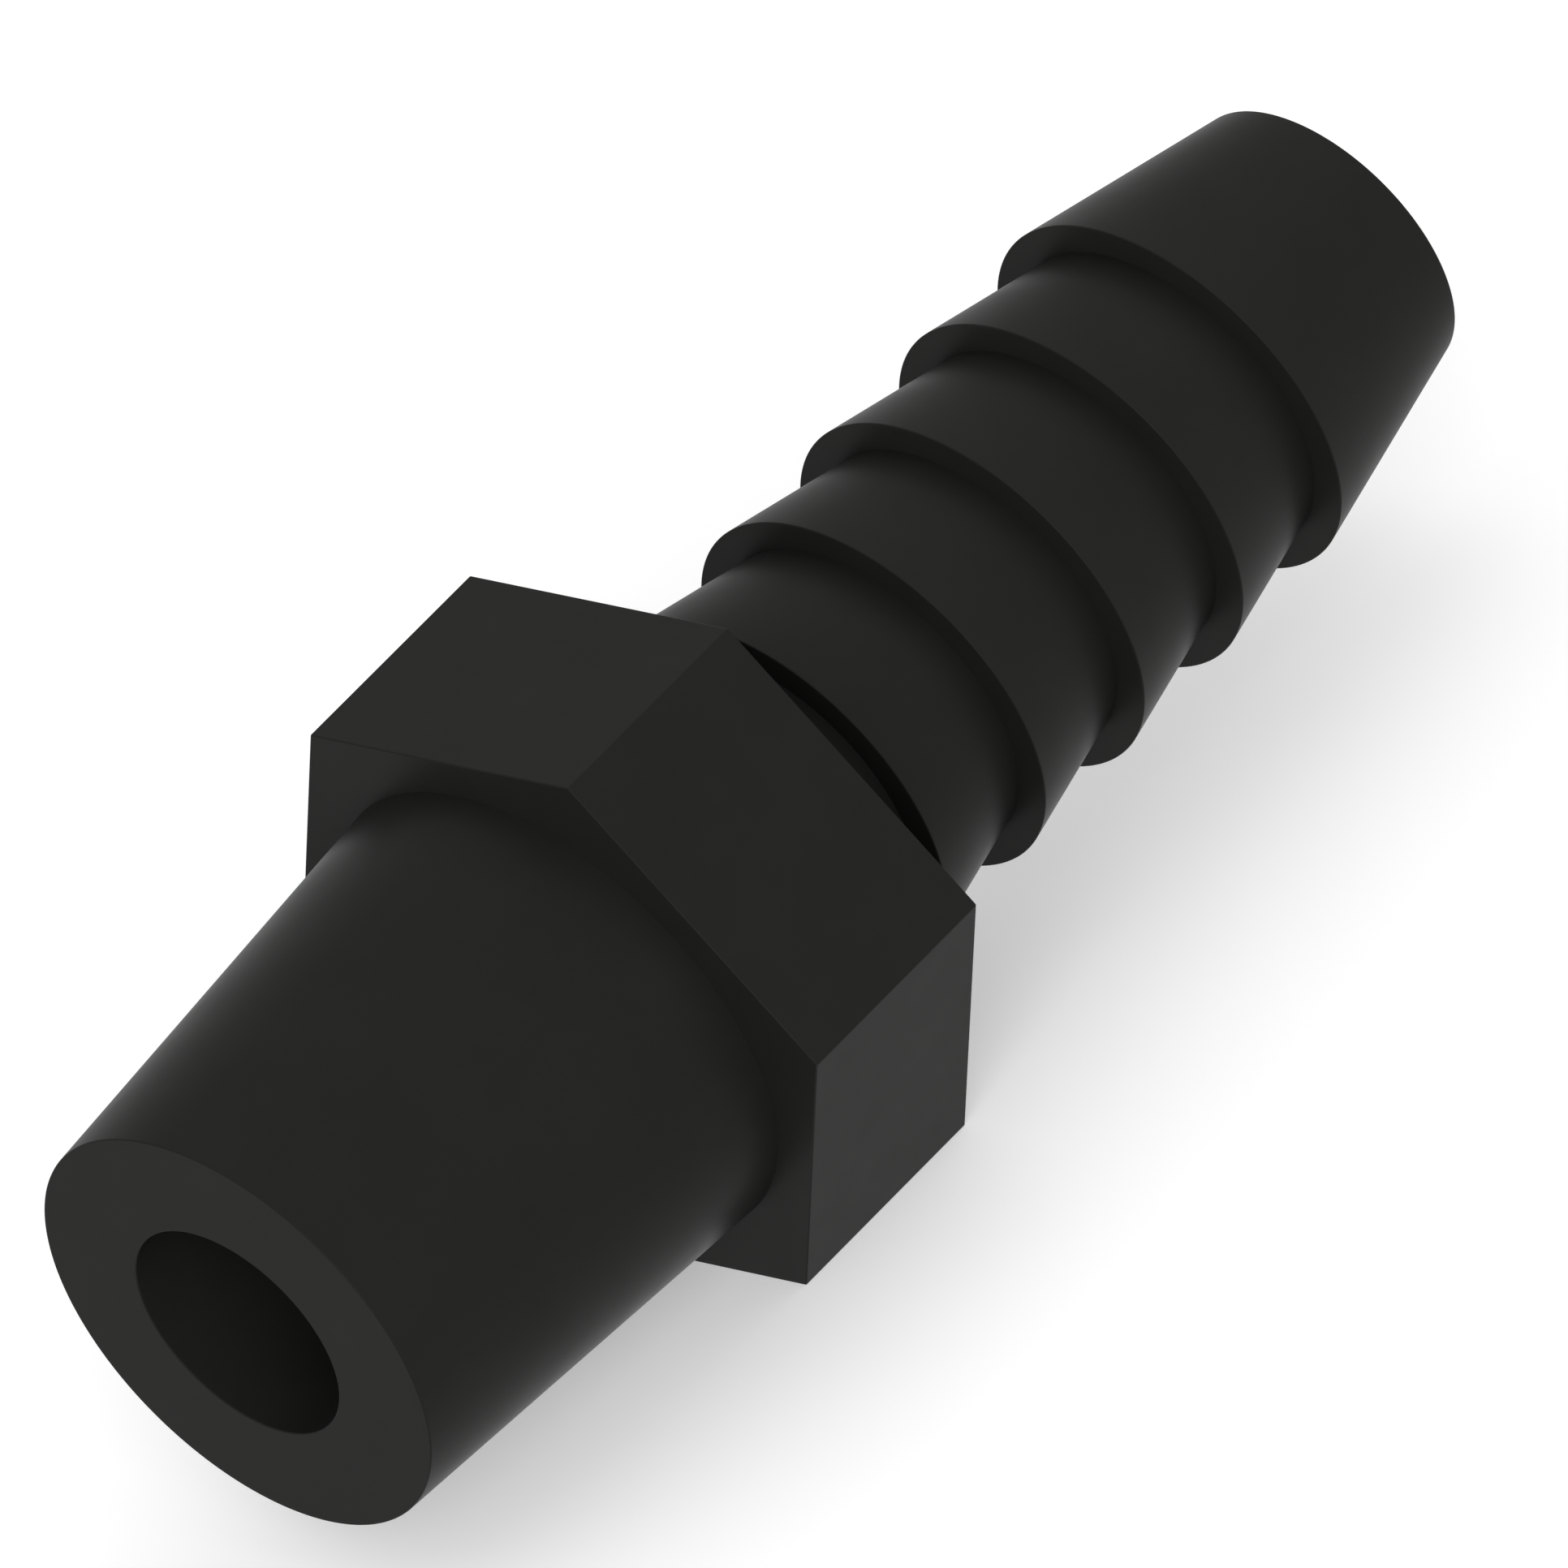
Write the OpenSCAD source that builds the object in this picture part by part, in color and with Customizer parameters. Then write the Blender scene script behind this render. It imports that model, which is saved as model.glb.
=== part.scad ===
// Straight hose barb fitting, moulded in one piece.
// A plain tapered spigot pushes or seals into a pipe port, a hexagon takes a spanner,
// and a barbed tail grips the hose. One straight bore carries the flow from end to end.

/* [Bore] */
// Diameter of the straight bore from end to end
bore_d = 6.35; // [3:0.05:7.5]

/* [Tapered spigot] */
// Length of the spigot from its free end to the hexagon
spigot_l = 12.7; // [6:0.1:24]
// Diameter of the spigot at its free end
spigot_end_d = 12.13; // [9:0.01:14]
// Angle between the spigot's side and the axis, in degrees
spigot_angle = 3.58; // [0:0.01:7.5]

/* [Hexagon] */
// Spanner size, across the flats
hex_af = 15.875; // [14.5:0.005:24]
// Thickness of the hexagon along the axis
hex_l = 6.35; // [4:0.05:14]

/* [Barbed tail] */
// Diameter of the plain neck behind the first ridge
neck_d = 9.15; // [7.8:0.01:10.6]
// Length of the plain neck, from the hexagon to the first ridge
neck_l = 2.22; // [1:0.02:8]
// Number of ridges
ridge_n = 5; // [1:1:8]
// Diameter over the ridges, a little more than the hose's bore
ridge_d = 10.84; // [9.6:0.01:13]
// Distance from one ridge to the next
ridge_pitch = 3.96; // [2:0.02:7]
// Angle between the side of a barb and the axis, in degrees
barb_angle = 12; // [4:0.5:18]
// Length of the last barb, from its ridge to the tip
tip_l = 6.35; // [3:0.05:9.5]

/* [Hidden] */

$fn = 128;

// How far the bore's cutter runs past each end of the fitting
cut_past = 1;

// Radii along the body, from the free end of the spigot to the tip
spigot_end_r = spigot_end_d / 2;
spigot_root_r = spigot_end_r + spigot_l * tan(spigot_angle);
ridge_r = ridge_d / 2;
barb_root_r = ridge_r - ridge_pitch * tan(barb_angle);
tip_r = ridge_r - tip_l * tan(barb_angle);

// Where each stretch starts, measured along the axis from the spigot's free end
hex_start = spigot_l;
tail_start = hex_start + hex_l;
first_ridge = tail_start + neck_l;
last_ridge = first_ridge + (ridge_n - 1) * ridge_pitch;
overall_l = last_ridge + tip_l;

// Corner to corner size of the hexagon
hex_across_corners = hex_af / cos(30);

module tapered_spigot() {
    cylinder(h = spigot_l, r1 = spigot_end_r, r2 = spigot_root_r);
}

// Corners lie at plus and minus X, so one flat faces down once the fitting lies on its side
module spanner_hexagon() {
    translate([0, 0, hex_start])
        cylinder(h = hex_l, d = hex_across_corners, $fn = 6);
}

// Outline of the tail: a plain neck, then saw teeth that rise square and fall to the next root
function barb_outline(i) =
    let (start = first_ridge + i * ridge_pitch)
    i < ridge_n - 1
        ? [[ridge_r, start], [barb_root_r, start + ridge_pitch]]
        : [[ridge_r, start], [tip_r, overall_l]];

module barbed_tail() {
    neck = [[0, tail_start], [neck_d / 2, tail_start], [neck_d / 2, first_ridge]];
    barbs = [for (i = [0 : ridge_n - 1]) each barb_outline(i)];
    rotate_extrude()
        polygon(concat(neck, barbs, [[0, overall_l]]));
}

module flow_bore() {
    translate([0, 0, -cut_past])
        cylinder(h = overall_l + 2 * cut_past, d = bore_d);
}

// The axis runs along +Y from the spigot's free end, which is the origin
module hose_barb_fitting() {
    color([0.15, 0.15, 0.15])
        rotate([-90, 0, 0])
            difference() {
                union() {
                    tapered_spigot();
                    spanner_hexagon();
                    barbed_tail();
                }
                flow_bore();
            }
}

hose_barb_fitting();
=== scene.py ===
import math

import bmesh
import bpy
from mathutils import Matrix, Vector


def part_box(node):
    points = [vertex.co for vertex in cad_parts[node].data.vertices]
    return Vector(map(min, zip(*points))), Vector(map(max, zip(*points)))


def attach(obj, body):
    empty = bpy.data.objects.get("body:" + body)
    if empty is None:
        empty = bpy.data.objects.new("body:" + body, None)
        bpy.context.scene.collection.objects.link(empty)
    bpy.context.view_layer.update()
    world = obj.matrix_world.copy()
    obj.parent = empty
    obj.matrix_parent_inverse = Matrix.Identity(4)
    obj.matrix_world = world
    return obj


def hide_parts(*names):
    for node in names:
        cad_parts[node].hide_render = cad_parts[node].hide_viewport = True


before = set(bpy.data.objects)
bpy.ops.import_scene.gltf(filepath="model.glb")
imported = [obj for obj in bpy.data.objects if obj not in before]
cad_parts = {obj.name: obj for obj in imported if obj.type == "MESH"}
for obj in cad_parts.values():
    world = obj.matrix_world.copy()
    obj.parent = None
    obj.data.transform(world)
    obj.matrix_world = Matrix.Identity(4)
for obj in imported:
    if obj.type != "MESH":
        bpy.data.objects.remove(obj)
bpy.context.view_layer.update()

fittingLow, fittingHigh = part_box("hose_barb_fitting")
millimetre = 0.001
print("packed frame loaded:", sorted(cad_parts))


# Camera: a very long lens, because the photograph shows almost no perspective
cameraView = {
    "azimuth": 55.65,         # degrees round the fitting, 0 looks along +Y
    "elevation": 31.35,       # degrees above the floor
    "roll": 25.54,            # degrees the horizon is tipped
    "lens": 1500,             # millimetres
    "sensor": 36,             # millimetres
    "frameWidth": 38.70,      # width of the picture at the fitting, millimetres
    "lookAcross": -0.027,     # picture centre from the fitting's centre, millimetres
    "lookUp": -0.031,
}


def directionTo(azimuth, elevation):
    azimuth = math.radians(azimuth)
    elevation = math.radians(elevation)
    return Vector((
        math.sin(azimuth) * math.cos(elevation),
        -math.cos(azimuth) * math.cos(elevation),
        math.sin(elevation),
    ))


def addCamera(values):
    back = directionTo(values["azimuth"], values["elevation"])
    roll = math.radians(values["roll"])
    level = Vector((-back.y, back.x, 0)).normalized()
    upright = back.cross(level)
    across = level * math.cos(roll) - upright * math.sin(roll)
    up = back.cross(across)
    centre = (fittingLow + fittingHigh) / 2
    centre += (across * values["lookAcross"] + up * values["lookUp"]) * millimetre
    distance = values["frameWidth"] * values["lens"] / values["sensor"] * millimetre
    cameraData = bpy.data.cameras.new("photoCamera")
    cameraData.lens = values["lens"]
    cameraData.sensor_width = values["sensor"]
    camera = bpy.data.objects.new("photoCamera", cameraData)
    bpy.context.scene.collection.objects.link(camera)
    turn = Matrix((across, up, back)).transposed()
    camera.matrix_world = Matrix.Translation(centre + back * distance) @ turn.to_4x4()
    bpy.context.scene.camera = camera


addCamera(cameraView)
print("camera placed")


# Shader maths: a wrapped socket that adds a Math node for each operator
class Signal:
    def __init__(self, sheet, socket):
        self.sheet = sheet
        self.socket = socket

    def joined(self, operation, first, second):
        return self.sheet.add("ShaderNodeMath", {"operation": operation}, {0: first, 1: second})

    def __add__(self, other):
        return self.joined("ADD", self, other)

    def __radd__(self, other):
        return self.joined("ADD", other, self)

    def __sub__(self, other):
        return self.joined("SUBTRACT", self, other)

    def __rsub__(self, other):
        return self.joined("SUBTRACT", other, self)

    def __mul__(self, other):
        return self.joined("MULTIPLY", self, other)

    def __rmul__(self, other):
        return self.joined("MULTIPLY", other, self)


# A node tree that is filled in by one method
class ShaderSheet:
    def __init__(self, tree):
        self.tree = tree
        self.tree.nodes.clear()

    def add(self, kind, settings=None, inputs=None, output=0):
        node = self.tree.nodes.new(kind)
        for name, value in (settings or {}).items():
            setattr(node, name, value)
        for name, value in (inputs or {}).items():
            if isinstance(value, Signal):
                self.tree.links.new(value.socket, node.inputs[name])
            else:
                node.inputs[name].default_value = value
        return Signal(self, node.outputs[output]) if node.outputs else node


def newMaterial(name):
    material = bpy.data.materials.new(name)
    material.use_nodes = True
    return material, ShaderSheet(material.node_tree)


def mixedColour(sheet, factor, first, second):
    colours = {"Factor": factor, 6: first, 7: second}  # 6 and 7 are the Mix node's colour sockets
    return sheet.add("ShaderNodeMix", {"data_type": "RGBA"}, colours, output=2)


# Black moulded plastic: near-black, with a soft sheen and the fine grain of the mould
blackPlastic = {
    "darkColour": (0.0125, 0.0125, 0.0120, 1),
    "lightColour": (0.0158, 0.0158, 0.0152, 1),
    "clouds": {"Scale": 420, "Detail": 3.0, "Roughness": 0.55},        # of colour, scale per metre
    "roughness": 0.38,
    "roughnessSpread": 0.07,
    "sheenPatches": {"Scale": 900, "Detail": 2.0, "Roughness": 0.5},   # of roughness
    "specularLevel": 0.03,
    "grain": {"Scale": 9000, "Detail": 2.0, "Roughness": 0.6},         # left by the mould
    "grainHeight": 0.0012,    # millimetres
}


def makeBlackPlastic(values):
    material, sheet = newMaterial("blackPlastic")
    place = sheet.add("ShaderNodeTexCoord", output="Object")
    cloud, sheen, grain = [
        sheet.add("ShaderNodeTexNoise", {}, {"Vector": place, **values[pattern]})
        for pattern in ("clouds", "sheenPatches", "grain")
    ]
    colour = mixedColour(sheet, cloud, values["darkColour"], values["lightColour"])
    roughness = values["roughness"] + (sheen - 0.5) * values["roughnessSpread"]
    relief = sheet.add(
        "ShaderNodeBump", {},
        {"Height": grain, "Strength": 1.0, "Distance": values["grainHeight"] * millimetre},
    )
    surface = sheet.add(
        "ShaderNodeBsdfPrincipled", {},
        {
            "Base Color": colour,
            "Roughness": roughness,
            "Specular IOR Level": values["specularLevel"],
            "Normal": relief,
        },
    )
    sheet.add("ShaderNodeOutputMaterial", {}, {"Surface": surface})
    return material


# Moulded body: one skin of rings from the bore's mouth, along the outside and back through the bore
mouldedBody = {
    "ringPoints": 192,        # points round each ring, a multiple of twelve
    "boreRadius": 3.175,      # all sizes in millimetres, all angles in degrees
    "spigotLength": 12.7,
    "spigotEndRadius": 6.065,
    "spigotAngle": 3.58,
    "hexLength": 6.35,
    "neckRadius": 4.575,
    "neckLength": 2.22,
    "ridgeCount": 5,
    "ridgeRadius": 5.42,
    "ridgePitch": 3.96,
    "barbAngle": 12,
    "edgeRadius": 0.04,       # softening of every outer edge
    "edgeSteps": 3,
    "sharpAngle": 30,         # an outer fold steeper than this gets the small radius
    "creaseAngle": 40,        # any fold steeper than this afterwards is shaded sharp
    "faceWeight": 100,        # how far the shading follows the large faces, from 1 to 100
    "weldDistance": 0.001,    # points nearer than this become one
}


def deselectEverything():
    for item in list(bpy.context.selected_objects):
        item.select_set(False)


def shapeRing(body, radiusAt):
    mesh = bmesh.from_edit_mesh(body.data)
    for vertex in mesh.verts:
        if vertex.select:
            angle = math.atan2(vertex.co.z, vertex.co.x)
            radius = radiusAt(angle)
            vertex.co.x = radius * math.cos(angle)
            vertex.co.z = radius * math.sin(angle)
    bmesh.update_edit_mesh(body.data)


def hexagonRadius(angle, flatRadius):
    sector = math.pi / 3
    fromFlat = (angle - math.pi / 2 + sector / 2) % sector - sector / 2
    return flatRadius / math.cos(fromFlat)


def pullRing(distance, radiusFrom=None, radiusTo=None):
    bpy.ops.mesh.extrude_region_move(TRANSFORM_OT_translate={"value": (0, distance, 0)})
    if radiusTo is not None:
        share = radiusTo / radiusFrom
        bpy.ops.transform.resize(value=(share, 1, share))


def selectOuterEdges(body, sharpAngle):
    mesh = bmesh.from_edit_mesh(body.data)
    for edge in mesh.edges:
        edge.select_set(edge.is_convex and edge.calc_face_angle(0) > sharpAngle)
    bmesh.update_edit_mesh(body.data)


def makeMouldedBody(values):
    barbSlope = math.tan(math.radians(values["barbAngle"]))
    spigotSlope = math.tan(math.radians(values["spigotAngle"]))
    spigotRootRadius = values["spigotEndRadius"] + values["spigotLength"] * spigotSlope
    flatRadius = fittingHigh.z / millimetre
    overallLength = fittingHigh.y / millimetre
    tailLength = overallLength - values["spigotLength"] - values["hexLength"]
    tipLength = tailLength - values["neckLength"] - (values["ridgeCount"] - 1) * values["ridgePitch"]

    deselectEverything()
    bpy.ops.mesh.primitive_circle_add(
        vertices=values["ringPoints"], radius=values["boreRadius"], rotation=(math.pi / 2, 0, 0),
    )
    body = bpy.context.object
    body.name = "mouldedBody"
    bpy.ops.object.transform_apply(location=False, rotation=True, scale=False)
    bpy.ops.object.mode_set(mode="EDIT")
    bpy.ops.mesh.select_all(action="SELECT")

    # Spigot: its end face, then its tapered side
    pullRing(0, values["boreRadius"], values["spigotEndRadius"])
    pullRing(values["spigotLength"], values["spigotEndRadius"], spigotRootRadius)

    # Hexagon: out to the six flats, along, and in to the neck
    pullRing(0)
    shapeRing(body, lambda angle: hexagonRadius(angle, flatRadius))
    pullRing(values["hexLength"])
    pullRing(0)
    shapeRing(body, lambda angle: values["neckRadius"])
    pullRing(values["neckLength"])

    # Barbs: out square to the ridge, then down the slope to the next root
    rootRadius = values["neckRadius"]
    for ridge in range(values["ridgeCount"]):
        last = ridge == values["ridgeCount"] - 1
        run = tipLength if last else values["ridgePitch"]
        pullRing(0, rootRadius, values["ridgeRadius"])
        rootRadius = values["ridgeRadius"] - run * barbSlope
        pullRing(run, values["ridgeRadius"], rootRadius)

    # Tip face, then the bore back to the first ring
    pullRing(0, rootRadius, values["boreRadius"])
    pullRing(-overallLength)
    bpy.ops.mesh.select_all(action="SELECT")
    bpy.ops.mesh.remove_doubles(threshold=values["weldDistance"])
    bpy.ops.mesh.normals_make_consistent(inside=False)

    # Small radius on every outer edge, while the inner corners stay crisp
    bpy.ops.mesh.select_mode(type="EDGE")
    bpy.ops.mesh.select_all(action="DESELECT")
    selectOuterEdges(body, math.radians(values["sharpAngle"]))
    bpy.ops.mesh.bevel(offset=values["edgeRadius"], segments=values["edgeSteps"], affect="EDGES")
    bpy.ops.object.mode_set(mode="OBJECT")

    # Shading that keeps the flats flat and the inner corners crisp
    bpy.ops.object.shade_smooth_by_angle(angle=math.radians(values["creaseAngle"]))
    weighted = body.modifiers.new("evenNormals", "WEIGHTED_NORMAL")
    weighted.weight = values["faceWeight"]
    weighted.keep_sharp = True
    bpy.ops.object.modifier_apply(modifier=weighted.name)
    body.scale = (millimetre, millimetre, millimetre)
    bpy.ops.object.transform_apply(location=False, rotation=False, scale=True)
    return body


body = makeMouldedBody(mouldedBody)
body.data.materials.append(makeBlackPlastic(blackPlastic))
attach(body, "root")
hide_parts("hose_barb_fitting")
print("moulded body made:", len(body.data.polygons), "faces")


# Rays that see the backdrop: straight from the camera, or from it by way of gloss or glass
def backdropRays(sheet):
    direct = sheet.add("ShaderNodeLightPath", output="Is Camera Ray")
    glossy = sheet.add("ShaderNodeLightPath", output="Is Glossy Ray")
    through = sheet.add("ShaderNodeLightPath", output="Is Transmission Ray")
    mirrored = sheet.add("ShaderNodeClamp", {}, {"Value": glossy + through})
    return direct, mirrored


# Floor: plain and pale, lifted to white for the camera but with its shadow, and white in reflections
floorSheet = {
    "size": 12,               # metres
    "gap": 0.01,              # millimetres below the lowest flat
    "colour": (0.85, 0.85, 0.85, 1),
    "noLift": (0, 0, 0, 1),
    "lift": (0.30, 0.30, 0.30, 1),      # glow that only the camera sees
    "mirroredColour": (1, 1, 1, 1),
    "roughness": 0.9,
}


def makeFloor(values):
    deselectEverything()
    level = fittingLow.z - values["gap"] * millimetre
    bpy.ops.mesh.primitive_plane_add(size=values["size"], location=(0, 0, level))
    floor = bpy.context.object
    floor.name = "floor"
    material, sheet = newMaterial("paleFloor")
    direct, mirrored = backdropRays(sheet)
    lift = mixedColour(sheet, direct, values["noLift"], values["lift"])
    lit = sheet.add(
        "ShaderNodeBsdfPrincipled", {},
        {
            "Base Color": values["colour"],
            "Roughness": values["roughness"],
            "Specular IOR Level": 0.0,
            "Emission Color": lift,
            "Emission Strength": 1.0,
        },
    )
    white = sheet.add("ShaderNodeEmission", {}, {"Color": values["mirroredColour"], "Strength": 1.0})
    surface = sheet.add("ShaderNodeMixShader", {}, {0: mirrored, 1: lit, 2: white})
    sheet.add("ShaderNodeOutputMaterial", {}, {"Surface": surface})
    floor.data.materials.append(material)


makeFloor(floorSheet)
print("floor laid")


# Studio light: one wide soft lamp low on the camera's side, a weaker one behind, and a plain white room
studio = {
    # name, azimuth round the fitting, elevation and apparent width in degrees, and strength
    "lamps": [
        ("keyLamp", 50, 20, 46, 1.75),
        ("backLamp", 180, 50, 60, 0.42),
    ],
    "roomColour": (1, 1, 1, 1),
    "roomLight": 0.68,        # strength with which the room lights the fitting, while it looks white
}


def addLight(values):
    for name, azimuth, elevation, width, strength in values["lamps"]:
        lampData = bpy.data.lights.new(name, "SUN")
        lampData.energy = strength
        lampData.angle = math.radians(width)
        lamp = bpy.data.objects.new(name, lampData)
        toLamp = directionTo(azimuth, elevation)
        lamp.matrix_world = toLamp.to_track_quat("Z", "Y").to_matrix().to_4x4()
        bpy.context.scene.collection.objects.link(lamp)

    world = bpy.data.worlds.new("studioRoom")
    world.use_nodes = True
    bpy.context.scene.world = world
    sheet = ShaderSheet(world.node_tree)
    direct, mirrored = backdropRays(sheet)
    strength = values["roomLight"] + (direct + mirrored) * (1 - values["roomLight"])
    glow = sheet.add("ShaderNodeBackground", {}, {"Color": values["roomColour"], "Strength": strength})
    sheet.add("ShaderNodeOutputWorld", {}, {"Surface": glow})


addLight(studio)
bpy.context.scene.view_settings.view_transform = "Standard"
print("lights set")
